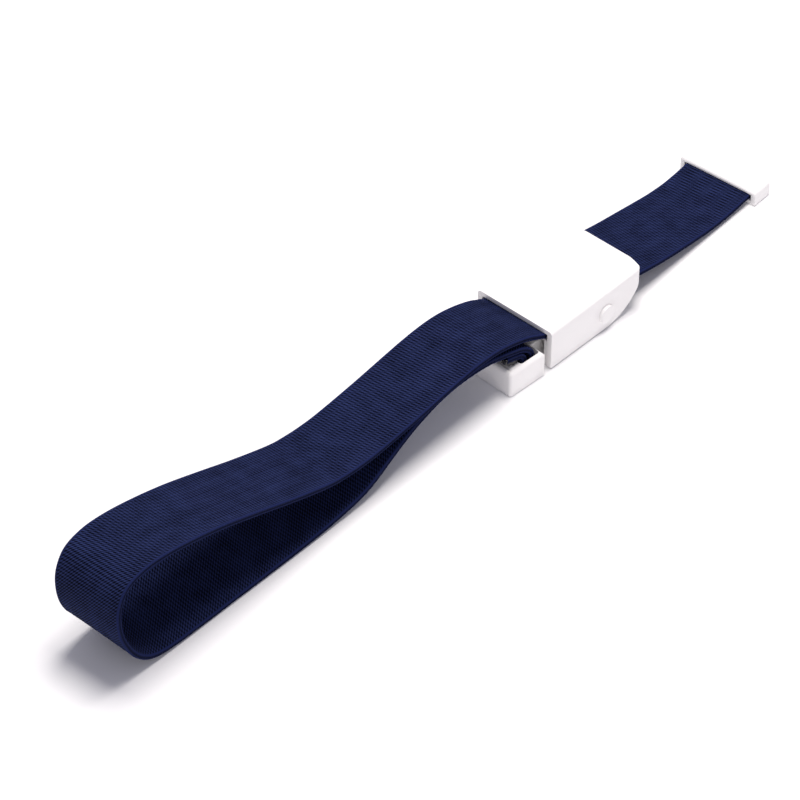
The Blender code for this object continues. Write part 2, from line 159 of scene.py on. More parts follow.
# ---------------------------------------------------------------- elastic band
# Covered-rubber elastic, 25 mm wide and 1.8 mm thick, warp-knitted from navy polyester. Its stitches lie in
# slanted rows on both faces, and each edge is a plain selvedge that folds round in two rims.
BAND_WIDTH = 25.0
BAND_THICK = 1.8
STITCH_LONG = 1.16
STITCH_WIDE = BAND_WIDTH / 27.5
STITCH_DEPTH = 0.14
SELVEDGE = 0.8
RIM = ((-0.60, 0.90), (-0.16, 0.80), (0.0, 0.45), (-0.07, 0.18), (-0.20, 0.0))
ALONG_STEPS = 3
ACROSS_STEPS = 2
INNER_STEPS = 22

MOUTH = -13.0
LOOP_YAW = math.radians(1.1)
TAIL_YAW = math.radians(3.2)
TAIL_BEND = 36.0
TAIL_ROLL = math.radians(5.0)
FLOOR_ROLL = math.radians(8.0)
PLUG_FRONT = -15.8
PLUG_ASIDE = -0.9
PLUG_YAW = math.radians(-2.5)
BAR_RADIUS = 1.5
BAR_BACK = 4.8
BAR_HEIGHT = 4.7
BAR_CLEAR = 0.3
SEWN_FROM = -84.0
SEWN_TO = -24.0
# Lengths from the buckle's mouth and heights of the band's middle, in mm.
TAIL_ROUTE = (
    (105.6, 2.55), (100.0, 2.55), (94.0, 2.15), (88.0, 2.0), (80.0, 2.6), (72.0, 3.8), (62.0, 5.5),
    (54.0, 7.0), (47.0, 8.6), (42.0, 9.7), (36.0, 10.45), (28.0, 10.4),
)
CLAMPED_ROUTE = ((16.0, 10.35), (9.0, 10.35), (4.0, 10.9), (0.0, 11.7))
LOOP_ROUTE = (
    (-7.5, 15.5), (-15.0, 18.1), (-22.5, 19.7), (-30.0, 20.1), (-37.5, 19.7), (-45.0, 18.9),
    (-60.0, 17.1), (-75.0, 15.8), (-82.5, 15.7), (-90.0, 16.3), (-97.5, 17.7), (-112.5, 22.5),
    (-127.5, 27.9), (-142.5, 33.0), (-157.5, 36.9), (-168.0, 38.6), (-175.0, 38.5), (-180.8, 36.4),
    (-184.0, 31.2), (-184.6, 25.0), (-183.4, 18.2), (-180.2, 11.7), (-175.3, 6.8), (-169.5, 4.0),
    (-161.8, 3.0), (-152.0, 2.7), (-142.0, 2.67), (-136.0, 2.62), (-130.0, 2.4), (-121.0, 1.95),
    (-112.0, 1.45), (-102.0, 1.35), (-92.0, 2.1), (-84.0, 3.3),
)
RISE_ROUTE = (
    (-78.0, 5.0), (-70.0, 8.6), (-64.0, 11.2), (-57.0, 13.6), (-49.0, 15.7), (-41.0, 17.05),
    (-33.0, 17.45), (-25.0, 17.1), (-18.0, 15.7), (-13.4, 14.45), (-10.6, 13.6), (-8.2, 12.2), (-6.3, 10.2),
)
TAIL_BACK_ROUTE = ((-9.8, 7.3), (-9.3, 9.3), (-10.5, 11.1), (-12.6, 11.9), (-15.0, 12.5), (-16.8, 12.9))


def ramp(value, low, high):
    """0 below low, 1 above high, and a smooth step between."""
    t = min(max((value - low) / (high - low), 0.0), 1.0)
    return t * t * (3 - 2 * t)


def smooth_route(points, spacing):
    """A Catmull-Rom curve through points in mm, read at even distances."""
    ends = [2 * points[0] - points[1], *points, 2 * points[-1] - points[-2]]
    fine = []
    for a, b, c, d in zip(ends, ends[1:], ends[2:], ends[3:]):
        for i in range(16):
            t = i / 16
            bend = 2 * b + (c - a) * t + (2 * a - 5 * b + 4 * c - d) * t * t
            fine.append((bend + (3 * b - a - 3 * c + d) * t ** 3) / 2)
    fine.append(points[-1])
    total = sum((q - p).length for p, q in zip(fine, fine[1:]))
    count = round(total / spacing)
    route = []
    walked = 0.0
    for p, q in zip(fine, fine[1:]):
        step = (q - p).length
        while len(route) <= count and len(route) * total / count <= walked + step + 1e-6:
            route.append(p.lerp(q, (len(route) * total / count - walked) / step))
        walked += step
    return route


def band_side(point):
    """Direction across the band. The loop's lower run has its far edge lifted, and the free end is turned."""
    if point.x > MOUTH:
        turned = TAIL_YAW * ramp(point.x, MOUTH + TAIL_BEND - 8, MOUTH + TAIL_BEND + 16)
        rolled = TAIL_ROLL * ramp(point.x, MOUTH + 28, MOUTH + 46)
        rolled *= 1 - ramp(point.x, MOUTH + 54, MOUTH + 98)
        return Vector((-math.sin(turned), math.cos(turned), math.sin(rolled)))
    rolled = FLOOR_ROLL * (1 - ramp(point.x, MOUTH - 140, MOUTH - 100)) * (1 - ramp(point.z, 4, 16))
    return Vector((-math.sin(LOOP_YAW), math.cos(LOOP_YAW), math.sin(rolled)))


def band_point(length, height):
    """The band's middle at a length from the mouth, on the loop or on the free end."""
    aside = min(length, 0.0) * math.tan(LOOP_YAW) + max(length - TAIL_BEND, 0.0) * math.tan(TAIL_YAW)
    return Vector((MOUTH + length, aside, height))


def sewn_side(point):
    """The sewn end turns from the loop's direction to the plug's."""
    turned = LOOP_YAW + (PLUG_YAW - LOOP_YAW) * ramp(point.x, MOUTH + SEWN_FROM, MOUTH + SEWN_TO)
    return Vector((-math.sin(turned), math.cos(turned), 0.0))


def sewn_point(length, height):
    """The sewn end's middle, which leaves the loop's line for the plug's."""
    on_loop = length * math.tan(LOOP_YAW)
    on_plug = PLUG_ASIDE + (MOUTH + length - PLUG_FRONT) * math.tan(PLUG_YAW)
    aside = on_loop + (on_plug - on_loop) * ramp(length, SEWN_FROM, SEWN_TO)
    return Vector((MOUTH + length, aside, height))


def round_bar(steps=12, first=30.0, last=-200.0):
    """Points where the band's middle goes round the plug's bar."""
    radius = BAR_RADIUS + BAR_CLEAR + BAND_THICK / 2
    turns = [math.radians(first + (last - first) * i / steps) for i in range(steps + 1)]
    bar_x = PLUG_FRONT - BAR_BACK - MOUTH
    return [(bar_x + radius * math.cos(a), BAR_HEIGHT + radius * math.sin(a)) for a in turns]


def band_section():
    """Points round the band's section: across the outer face, down one edge, back, and up the other."""
    face_half = BAND_WIDTH / 2 + RIM[0][0]
    count = round(2 * face_half / STITCH_WIDE) * ACROSS_STEPS
    outer = [(-face_half + 2 * face_half * i / count, BAND_THICK / 2, 1) for i in range(count + 1)]
    rim = [(BAND_WIDTH / 2 + w, h, 0) for w, h in RIM[1:]]
    edge = rim + [(w, -h, 0) for w, h, _ in reversed(rim[:-1])]
    inner = []
    for i in range(INNER_STEPS + 1):
        inner.append((face_half - 2 * face_half * i / INNER_STEPS, -BAND_THICK / 2, -1))
    far_edge = [(-w, -h, 0) for w, h, _ in edge]
    return outer + edge + inner + far_edge + outer[:1]


def stitch_height(along, across):
    """0 in the hole beside a stitch and 1 on its crown, from places in mm."""
    row = 0.5 + 0.5 * math.cos(2 * math.pi * (along / STITCH_LONG - across / STITCH_WIDE))
    hole = (1 - row) * (0.5 + 0.5 * math.cos(2 * math.pi * along / STITCH_LONG))
    return 0.45 * row + 0.55 * (1 - hole)


def band_mesh(route, first, last, side_of):
    """The band from one station of its route to another: a grid rolled into a tube, with its ends closed."""
    section = band_section()
    rows = last - first
    columns = len(section) - 1
    frames = []
    for i in range(first, last + 1):
        along = (route[min(i + 1, len(route) - 1)] - route[max(i - 1, 0)]).normalized()
        side = side_of(route[i])
        side = (side - along * side.dot(along)).normalized()
        frames.append((route[i], side, along.cross(side)))
    bm = bmesh.new()
    weave = bm.verts.layers.float_vector.new("weave")
    bmesh.ops.create_grid(bm, x_segments=columns, y_segments=rows, size=1.0)
    for vert in bm.verts:
        column = round((vert.co.x + 1) / 2 * columns)
        row = round((vert.co.y + 1) / 2 * rows)
        across, out, face = section[column]
        point, side, up = frames[row]
        along = STITCH_LONG * (first + row) / ALONG_STEPS
        if face:
            plain = ramp(abs(across), BAND_WIDTH / 2 - SELVEDGE - 0.5, BAND_WIDTH / 2 - SELVEDGE)
            sunk = STITCH_DEPTH * (1 - stitch_height(along, across)) * (1 - plain)
            out -= math.copysign(sunk + 0.04 * (1 - plain), out)
        vert[weave] = (along, across, out)
        vert.co = (point + side * across + up * out) * MM
    bmesh.ops.remove_doubles(bm, verts=bm.verts, dist=0.001 * MM)
    open_edges = [e for e in bm.edges if e.is_boundary]
    bmesh.ops.holes_fill(bm, edges=open_edges, sides=0)
    bmesh.ops.recalc_face_normals(bm, faces=bm.faces)
    return bm


def add_piece(name, bm, finish, replaced, body=None, smooth=math.radians(35)):
    """Makes a mesh a piece that stands for CAD nodes, shades it, and lets it ride on a body."""
    mesh = bpy.data.meshes.new(name)
    bm.to_mesh(mesh)
    bm.free()
    mesh.materials.append(finish)
    mesh.shade_smooth()
    mesh.set_sharp_from_angle(angle=smooth)
    piece = bpy.data.objects.new(name, mesh)
    bpy.context.scene.collection.objects.link(piece)
    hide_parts(*replaced)
    if body:
        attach(piece, body)
    return piece


def knitted_polyester():
    """Warp-knitted polyester over rubber: matt navy, near black in the holes between the slanted stitches."""
    finish = bpy.data.materials.new("knitted_navy_polyester")
    finish.use_nodes = True
    tree = finish.node_tree
    shader = tree.nodes["Principled BSDF"]
    place = add_node(tree, "ShaderNodeAttribute", {"attribute_name": "weave"}).outputs["Vector"]
    yarn = add_node(tree, "ShaderNodeTexNoise", {}, Vector=place, Scale=3.4, Detail=3.0).outputs["Fac"]
    patch = add_node(tree, "ShaderNodeTexNoise", {}, Vector=place, Scale=0.14, Detail=3.0).outputs["Fac"]
    drift = add_node(
        tree, "ShaderNodeVectorMath", {"operation": "MULTIPLY_ADD"}, _0=yarn, _1=(0.26, 0.26, 0.0), _2=place
    ).outputs["Vector"]
    axes = add_node(tree, "ShaderNodeSeparateXYZ", Vector=drift)
    along = add_node(
        tree, "ShaderNodeMath", {"operation": "MULTIPLY"}, _0=axes.outputs["X"], _1=2 * math.pi / STITCH_LONG
    ).outputs["Value"]
    row_turn = add_node(
        tree, "ShaderNodeMath", {"operation": "MULTIPLY_ADD"},
        _0=axes.outputs["Y"], _1=-2 * math.pi / STITCH_WIDE, _2=along,
    ).outputs["Value"]
    row = add_node(tree, "ShaderNodeMath", {"operation": "COSINE"}, _0=row_turn).outputs["Value"]
    beside = add_node(tree, "ShaderNodeMath", {"operation": "COSINE"}, _0=along).outputs["Value"]
    slant = add_node(
        tree, "ShaderNodeMath", {"operation": "MULTIPLY_ADD"}, _0=row, _1=0.32, _2=0.5
    ).outputs["Value"]
    stitch = add_node(
        tree, "ShaderNodeMath", {"operation": "MULTIPLY_ADD"}, _0=beside, _1=-0.24, _2=slant
    ).outputs["Value"]
    uneven = add_node(
        tree, "ShaderNodeMath", {"operation": "MULTIPLY_ADD"}, _0=patch, _1=0.5, _2=stitch
    ).outputs["Value"]
    lift = add_node(
        tree, "ShaderNodeMath", {"operation": "MULTIPLY_ADD"}, _0=yarn, _1=0.9, _2=uneven
    ).outputs["Value"]
    depth = add_node(
        tree, "ShaderNodeMapRange", {}, Value=lift, From_Min=0.85, From_Max=1.75
    ).outputs["Result"]
    from_middle = add_node(
        tree, "ShaderNodeMath", {"operation": "ABSOLUTE"}, _0=axes.outputs["Y"]
    ).outputs["Value"]
    edge = add_node(
        tree, "ShaderNodeMapRange", {"interpolation_type": "SMOOTHSTEP"}, Value=from_middle,
        From_Min=BAND_WIDTH / 2 - SELVEDGE, From_Max=BAND_WIDTH / 2 - SELVEDGE + 0.4,
    ).outputs["Result"]
    from_core = add_node(
        tree, "ShaderNodeMath", {"operation": "ABSOLUTE"}, _0=axes.outputs["Z"]
    ).outputs["Value"]
    # Painted shade and highlight on each selvedge: darker in the groove between its two rims, where shade
    # falls, and lighter on the rims next to the faces, where light falls.
    painted_rim_light = add_node(
        tree, "ShaderNodeMapRange", {}, Value=from_core, From_Min=0.1, From_Max=0.8
    ).outputs["Result"]
    face = add_node(
        tree, "ShaderNodeMix", {"data_type": "RGBA"}, _0=depth, _6=linear("#000005"), _7=linear("#2d3763")
    ).outputs[2]
    # The selvedge's colour, running from a painted shaded groove to painted lit rims.
    plain = add_node(
        tree, "ShaderNodeMix", {"data_type": "RGBA"}, _0=painted_rim_light, _6=linear("#0f142b"), _7=linear("#1e264f")
    ).outputs[2]
    colour = add_node(tree, "ShaderNodeMix", {"data_type": "RGBA"}, _0=edge, _6=face, _7=plain).outputs[2]
    bump = add_node(tree, "ShaderNodeBump", {}, Height=lift, Strength=0.5, Distance=0.12 * MM)
    tree.links.new(colour, shader.inputs["Base Color"])
    tree.links.new(bump.outputs["Normal"], shader.inputs["Normal"])
    shader.inputs["Roughness"].default_value = 0.9
    shader.inputs["Specular IOR Level"].default_value = 0.05
    return finish


navy_knit = knitted_polyester()
band_points = [band_point(*p) for p in TAIL_ROUTE + CLAMPED_ROUTE + LOOP_ROUTE]
band_points += [sewn_point(*p) for p in (*RISE_ROUTE, *round_bar(), *TAIL_BACK_ROUTE)]
route = smooth_route(band_points, STITCH_LONG / ALONG_STEPS)
seam_point = band_point(*LOOP_ROUTE[-1])
seam = min(range(len(route)), key=lambda i: (route[i] - seam_point).length)
bm = band_mesh(route, 0, seam, band_side)
band = add_piece("elastic_band", bm, navy_knit, ["strap"], "buckle", math.radians(60))


# ---------------------------------------------------------------- sewn end
# The same band, where it rises under the top of the loop, arches into the plug, goes round the plug's bar and
# is turned back on itself.
bm = band_mesh(route, seam, len(route) - 1, sewn_side)
sewn_end = add_piece("sewn_end", bm, navy_knit, ["strap_plug_end"], None, math.radians(60))
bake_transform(sewn_end)


# ---------------------------------------------------------------- fused edge and tack
# The band's cut end is melted to a hard, glossy bead so that it can't fray, and a zigzag of polyester thread
# tacks it under the arch.
def fused_polyester():
    """Melted polyester: near-black navy, glossy, with small drips and pits that catch the light."""
    finish = bpy.data.materials.new("fused_polyester")
    finish.use_nodes = True
    tree = finish.node_tree
    shader = tree.nodes["Principled BSDF"]
    place = add_node(tree, "ShaderNodeTexCoord")
    drips = add_node(
        tree, "ShaderNodeTexNoise", {}, Vector=place.outputs["Object"], Scale=1.6 / MM, Detail=3.0
    ).outputs["Fac"]
    tint = add_node(
        tree, "ShaderNodeMix", {"data_type": "RGBA"}, _0=drips, _6=linear("#020206"), _7=linear("#0a0c1a")
    )
    bump = add_node(tree, "ShaderNodeBump", {}, Height=drips, Strength=0.9, Distance=0.4 * MM)
    tree.links.new(tint.outputs[2], shader.inputs["Base Color"])
    tree.links.new(bump.outputs["Normal"], shader.inputs["Normal"])
    shader.inputs["Roughness"].default_value = 0.12
    shader.inputs["Specular IOR Level"].default_value = 0.3
    shader.inputs["IOR"].default_value = 1.57
    return finish


def tube_mesh(points, radius, sides=10):
    """A round thread or wire along points in mm: a circle at each point, bridged to the next."""
    bm = bmesh.new()
    last = len(points) - 1
    before = None
    for i, point in enumerate(points):
        along = (points[min(i + 1, last)] - points[max(i - 1, 0)]).normalized()
        turn = along.to_track_quat("Z", "X").to_matrix().to_4x4()
        if i:
            along_turn = along_before.rotation_difference(along).to_matrix().to_4x4()
            turn = along_turn @ turn_before
        ring = bmesh.ops.create_circle(bm, segments=sides, radius=radius * MM)["verts"]
        bmesh.ops.transform(bm, matrix=Matrix.Translation(point * MM) @ turn, verts=ring)
        edges = list({e for v in ring for e in v.link_edges if e.other_vert(v) in ring})
        if before:
            bmesh.ops.bridge_loops(bm, edges=before + edges)
        before, along_before, turn_before = edges, along, turn
    bmesh.ops.holes_fill(bm, edges=[e for e in bm.edges if e.is_boundary], sides=0)
    bmesh.ops.recalc_face_normals(bm, faces=bm.faces)
    return bm


def merge_into(bm, other):
    """Adds a mesh's shape to another one."""
    spare = bpy.data.meshes.new("spare")
    other.to_mesh(spare)
    other.free()
    bm.from_mesh(spare)
    bpy.data.meshes.remove(spare)


TACK_ROWS = 3
TACK_HALF = 10.4
THREAD_RADIUS = 0.2
TACK_MIDDLE = (-15.2, 12.56)
fused = fused_polyester()
tail_end = sewn_point(*TAIL_BACK_ROUTE[-1])
tail_slope = Vector((-1.8, 0.0, 0.4)).normalized()
tail_across = sewn_side(tail_end)
bm = bmesh.new()
for forward, drop, radius in ((0.1, 0.0, 1.0), (-1.1, 1.15, 0.8), (-2.6, 1.35, 0.9), (-3.9, 1.6, 0.7)):
    bead_points = []
    for i in range(97):
        across = -BAND_WIDTH / 2 + 0.1 + (BAND_WIDTH - 0.2) * i / 96
        wander = noise.noise(Vector((across * 0.9, 3.0, 4 * forward))) * 0.5
        middle = tail_end + tail_across * across + tail_slope * (forward + wander)
        bead_points.append(middle - Vector((0.0, 0.0, drop + 0.3 * wander)))
    merge_into(bm, tube_mesh(bead_points, radius, 14))
for vert in bm.verts:
    vert.co += vert.normal * noise.noise(vert.co / MM * 1.1) * 0.45 * MM
tack_middle = sewn_point(*TACK_MIDDLE)
for row in range(TACK_ROWS):
    zigzag = []
    for i in range(27):
        across = -TACK_HALF + 2 * TACK_HALF * i / 26
        forward = 0.45 if i % 2 else -0.45
        spot = tack_middle + tail_across * across - tail_slope * (1.1 * (row - 1) + forward)
        zigzag.append(spot + Vector((0.0, 0.0, -1.25)))
    merge_into(bm, tube_mesh(zigzag, THREAD_RADIUS, 6))
add_piece("fused_end_and_tack", bm, fused, ["strap_tack"], "plug")


# ---------------------------------------------------------------- lever cover
# White ABS, injection moulded: a shell with a soft shoulder along each side and a bowed heel, open below and
# at both ends. Its toothed jaw grips the band, and it rocks on the tray's two trunnions.
def white_abs():
    """Injection-moulded ABS from a fine-spark mould: satin, opaque, very slightly uneven."""
    finish = bpy.data.materials.new("white_abs")
    finish.use_nodes = True
    tree = finish.node_tree
    shader = tree.nodes["Principled BSDF"]
    place = add_node(tree, "ShaderNodeTexCoord")
    grain = add_node(
        tree, "ShaderNodeTexNoise", {}, Vector=place.outputs["Object"], Scale=2.2 / MM, Detail=2.0
    ).outputs["Fac"]
    flow = add_node(
        tree, "ShaderNodeTexNoise", {}, Vector=place.outputs["Object"], Scale=0.06 / MM, Detail=2.0
    ).outputs["Fac"]
    tint = add_node(
        tree, "ShaderNodeMix", {"data_type": "RGBA"}, _0=flow, _6=linear("#f7f5f4"), _7=linear("#f4f2f1")
    )
    gloss = add_node(tree, "ShaderNodeMapRange", {}, Value=grain, To_Min=0.34, To_Max=0.46)
    bump = add_node(tree, "ShaderNodeBump", {}, Height=grain, Strength=0.12, Distance=0.05 * MM)
    tree.links.new(tint.outputs[2], shader.inputs["Base Color"])
    tree.links.new(gloss.outputs["Result"], shader.inputs["Roughness"])
    tree.links.new(bump.outputs["Normal"], shader.inputs["Normal"])
    shader.inputs["IOR"].default_value = 1.53
    return finish


def block(low, high):
    """A box between two corners, in mm."""
    bm = bmesh.new()
    bmesh.ops.create_cube(bm, size=1.0)
    size = [(b - a) * MM for a, b in zip(low, high)]
    middle = [(a + b) / 2 * MM for a, b in zip(low, high)]
    bmesh.ops.transform(bm, matrix=Matrix.Translation(middle) @ Matrix.Diagonal((*size, 1.0)), verts=bm.verts)
    return bm


def profile_block(outline, y_low, y_high):
    """A side view in mm, drawn out across the band."""
    bm = bmesh.new()
    face = bm.faces.new([bm.verts.new((x * MM, y_low * MM, z * MM)) for x, z in outline])
    grown = bmesh.ops.extrude_face_region(bm, geom=[face])
    moved = [v for v in grown["geom"] if isinstance(v, bmesh.types.BMVert)]
    bmesh.ops.translate(bm, vec=(0, (y_high - y_low) * MM, 0), verts=moved)
    bmesh.ops.recalc_face_normals(bm, faces=bm.faces)
    return bm


def rod(x, z, radius, y_low, y_high, sides=64):
    """A round bar across the band, in mm."""
    bm = bmesh.new()
    bmesh.ops.create_cone(
        bm, cap_ends=True, segments=sides, radius1=radius * MM, radius2=radius * MM,
        depth=(y_high - y_low) * MM,
    )
    middle = Vector((x, (y_low + y_high) / 2, z)) * MM
    across = Matrix.Rotation(math.pi / 2, 4, "X")
    bmesh.ops.transform(bm, matrix=Matrix.Translation(middle) @ across, verts=bm.verts)
    return bm


def round_edges(bm, radius, chosen, segments=6):
    """Rounds the edges whose two ends and direction the test accepts, in mm."""
    edges = []
    for edge in bm.edges:
        first, second = (v.co / MM for v in edge.verts)
        if chosen(first, second):
            edges.append(edge)
    bmesh.ops.bevel(
        bm, geom=edges, offset=radius * MM, segments=segments, profile=0.5, affect="EDGES", material=-1
    )
    return bm


def combine(bm, operation, *tools):
    """Cuts tools out of a mesh, joins them to it, or keeps what they share."""
    for tool in tools:
        pair = []
        for shape in (bm, tool):
            mesh = bpy.data.meshes.new("carving")
            bmesh.ops.recalc_face_normals(shape, faces=shape.faces)
            shape.to_mesh(mesh)
            shape.free()
            carved = bpy.data.objects.new("carving", mesh)
            bpy.context.scene.collection.objects.link(carved)
            pair.append(carved)
        step = pair[0].modifiers.new("step", "BOOLEAN")
        step.operation = operation
        step.solver = "EXACT"
        step.object = pair[1]
        scene_now = bpy.context.evaluated_depsgraph_get()
        result = bpy.data.meshes.new_from_object(pair[0].evaluated_get(scene_now))
        bm = bmesh.new()
        bm.from_mesh(result)
        for carved in pair:
            bpy.data.meshes.remove(carved.data)
        bpy.data.meshes.remove(result)
    return bm


def soften(bm, radius, sharper_than=40.0, segments=2):
    """Takes the last sharpness off every edge that isn't rounded yet."""
    bmesh.ops.remove_doubles(bm, verts=bm.verts, dist=0.005 * MM)
    bmesh.ops.dissolve_limit(bm, angle_limit=math.radians(0.5), verts=bm.verts, edges=bm.edges)
    limit = math.radians(sharper_than)
    edges = [e for e in bm.edges if e.is_manifold and e.calc_face_angle(0.0) > limit]
    bmesh.ops.bevel(
        bm, geom=edges, offset=radius * MM, segments=segments, profile=0.5, affect="EDGES", material=-1,
        clamp_overlap=True,
    )
    return bm


COVER_HALF = 15.1
COVER_TOP = 14.5
COVER_WALL = 1.85
COVER_ROOF = 1.6
COVER_LIFT = 0.4
BOW_START = 25.4
BOW_RADIUS = 18.2
HEEL_SWEEP = 2.3
REAR_CORNER = 2.5
SHOULDER = 1.3
THIN_ROOF = 1.0
THIN_FROM = 34.0
COVER_EDGE = 0.5
JAW_FROM = 6.6
JAW_TOOTH = 1.2
JAW_HALF = 12.2
PIVOT = Vector(frame["joints"][0]["pos_m"]) / MM
TRUNNION_RADIUS = 3.0
CLEAR = 0.3


def bow(radius, first, last, steps=32):
    """Points of the bowed heel in the side view, from one angle to another."""
    centre = (MOUTH + BOW_START, COVER_LIFT + BOW_RADIUS)
    turns = [math.radians(first + (last - first) * i / steps) for i in range(steps + 1)]
    return [(centre[0] + radius * math.cos(a), centre[1] + radius * math.sin(a)) for a in turns]


def heel_plan():
    """Top view of the cover's far end: a shallow bow with a round corner at each side."""
    heel = MOUTH + BOW_START + BOW_RADIUS
    turn = math.radians(20)
    bow_half = COVER_HALF - REAR_CORNER * (1 - math.sin(turn))
    heel_bow = []
    for i in range(-16, 17):
        across = bow_half * i / 16
        heel_bow.append((heel - HEEL_SWEEP * (abs(across) / COVER_HALF) ** 3, across))
    corner_x = heel_bow[0][0] - REAR_CORNER * math.cos(turn)
    near = []
    for i in range(8):
        angle = -math.pi / 2 + (math.pi / 2 - turn) * i / 8
        corner_y = REAR_CORNER * (1 + math.sin(angle)) - COVER_HALF
        near.append((corner_x + REAR_CORNER * math.cos(angle), corner_y))
    far = [(x, -y) for x, y in reversed(near)]
    wide = COVER_HALF + 1
    start = MOUTH - 5
    return [(start, wide), (start, -wide), (corner_x, -wide), *near, *heel_bow, *far, (corner_x, wide)]


top_angle = math.degrees(math.asin((COVER_TOP - COVER_LIFT - BOW_RADIUS) / BOW_RADIUS))
bm = profile_block(
    [(MOUTH, COVER_TOP), (MOUTH, COVER_LIFT), *bow(BOW_RADIUS, -90, top_angle)], -COVER_HALF, COVER_HALF
)
round_edges(
    bm, SHOULDER,
    lambda a, b: min(a.z, b.z) > COVER_TOP - 0.01 and abs(a.y - b.y) < 0.01, 10,
)
plan = profile_block(heel_plan(), -COVER_TOP - 5, 5)
bmesh.ops.rotate(plan, matrix=Matrix.Rotation(-math.pi / 2, 3, "X"), verts=plan.verts)
bm = combine(bm, "INTERSECT", plan)
inner = COVER_HALF - COVER_WALL
hollow = block((MOUTH - 5, -inner, -5), (MOUTH + 60, inner, COVER_TOP - COVER_ROOF))
round_edges(
    hollow, 0.3, lambda a, b: min(a.z, b.z) > COVER_TOP - COVER_ROOF - 0.01 and abs(a.y - b.y) < 0.01, 4,
)
thinned = block((MOUTH + THIN_FROM, -inner, 5), (MOUTH + 60, inner, COVER_TOP - THIN_ROOF))
bores = rod(PIVOT.x, PIVOT.z, TRUNNION_RADIUS + 0.06, -COVER_HALF - 5, COVER_HALF + 5)
bm = combine(bm, "DIFFERENCE", hollow, thinned, bores)
bm = soften(bm, COVER_EDGE, 40.0, 4)
DECK_TOP = 9.15
JAW_LOW = DECK_TOP + BAND_THICK + 2 * CLEAR
roof = COVER_TOP - COVER_ROOF
jaw = MOUTH + JAW_FROM
teeth = [(jaw, roof + 0.2)]
for i in range(4):
    teeth.append((jaw + JAW_TOOTH * i, JAW_LOW + 0.6))
    teeth.append((jaw + JAW_TOOTH * i + 0.9, JAW_LOW))
teeth += [(jaw + 4 * JAW_TOOTH, JAW_LOW + 0.6), (jaw + 4 * JAW_TOOTH, roof + 0.2)]
merge_into(bm, profile_block(teeth, -JAW_HALF, JAW_HALF))
for side in (-1, 1):
    low, high = sorted((side * 9.2, side * (inner + 0.3)))
    lug = block((MOUTH + 9, low, 3.6), (MOUTH + 12, high, 5.6))
    merge_into(bm, round_edges(lug, 0.3, lambda a, b: True, 2))
moulded_abs = white_abs()
add_piece("lever_cover_shell", bm, moulded_abs, ["lever_cover"], "lever")


# ---------------------------------------------------------------- buckle tray
# The lower half of the buckle, moulded in the same white ABS: a bowed floor, two walls, the deck that the
# band is clamped on, and the two trunnions that the cover rocks on. Every moulded edge is a little soft.
def cad_copy(node):
    """A node's shape, with its loose triangles merged and its flat faces made whole."""
    bm = bmesh.new()
    bm.from_mesh(frame["nodes"][node].data)
    bmesh.ops.remove_doubles(bm, verts=bm.verts, dist=0.002 * MM)
    bmesh.ops.dissolve_limit(bm, angle_limit=math.radians(1), verts=bm.verts, edges=bm.edges)
    return bm


tray = soften(cad_copy("buckle_base"), 0.18, 50.0)
add_piece("buckle_tray", tray, moulded_abs, ["buckle_base"], "buckle")


# ---------------------------------------------------------------- pin and springs
# A drawn steel pin runs through both trunnions, and two torsion springs of steel wire are wound round it.
# They press the cover's lugs down, which holds the jaw on the band.
def drawn_steel():
    """Drawn steel: bright, with fine die lines and a thin film of oil that dulls it in patches."""
    finish = bpy.data.materials.new("drawn_steel")
    finish.use_nodes = True
    tree = finish.node_tree
    shader = tree.nodes["Principled BSDF"]
    place = add_node(tree, "ShaderNodeTexCoord").outputs["Object"]
    film = add_node(tree, "ShaderNodeTexNoise", {}, Vector=place, Scale=0.7 / MM, Detail=3.0).outputs["Fac"]
    lines = add_node(tree, "ShaderNodeTexNoise", {}, Vector=place, Scale=6.0 / MM, Detail=1.0).outputs["Fac"]
    tint = add_node(
        tree, "ShaderNodeMix", {"data_type": "RGBA"}, _0=film, _6=linear("#b4b4b6"), _7=linear("#cfcfd0")
    )
    dull = add_node(tree, "ShaderNodeMapRange", {}, Value=film, To_Min=0.2, To_Max=0.4)
    bump = add_node(tree, "ShaderNodeBump", {}, Height=lines, Strength=0.1, Distance=0.02 * MM)
    tree.links.new(tint.outputs[2], shader.inputs["Base Color"])
    tree.links.new(dull.outputs["Result"], shader.inputs["Roughness"])
    tree.links.new(bump.outputs["Normal"], shader.inputs["Normal"])
    shader.inputs["Metallic"].default_value = 1.0
    return finish


WIRE_RADIUS = 0.4
PIN_RADIUS = 1.1
COIL_RADIUS = PIN_RADIUS + 0.3 + WIRE_RADIUS
COIL_TURNS = 2.5
COIL_PITCH = 0.88
COIL_START = 9.0
TRAY_FLOOR = 1.5
PIN_HALF = 13.9
LEG_ANGLE = math.radians(-62)
COIL_SIDES = 40
steel = drawn_steel()
pin = rod(PIVOT.x, PIVOT.z, PIN_RADIUS, -PIN_HALF, PIN_HALF, 48)
round_edges(pin, 0.2, lambda a, b: abs(a.y - b.y) < 0.01, 3)
add_piece("hinge_pin", pin, steel, ["spring_pin"], "buckle")
for name, side in (("near", -1), ("far", 1)):
    wire = [Vector((MOUTH + 33, side * COIL_START, TRAY_FLOOR + 3.3))]
    steps = round(COIL_TURNS * COIL_SIDES)
    for i in range(steps + 1):
        angle = LEG_ANGLE + 2 * math.pi * i / COIL_SIDES
        across = side * (COIL_START + COIL_PITCH * i / COIL_SIDES)
        out = Vector((math.cos(angle), 0.0, math.sin(angle)))
        wire.append(Vector((PIVOT.x, across, PIVOT.z)) + COIL_RADIUS * out)
    wire.append(Vector((MOUTH + 10.2, wire[-1].y, 5.6 + CLEAR + WIRE_RADIUS)))
    spring = tube_mesh(wire, WIRE_RADIUS, 12)
    piece = add_piece(f"torsion_spring_{name}", spring, steel, [f"lever_spring_{name}"])
    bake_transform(piece)


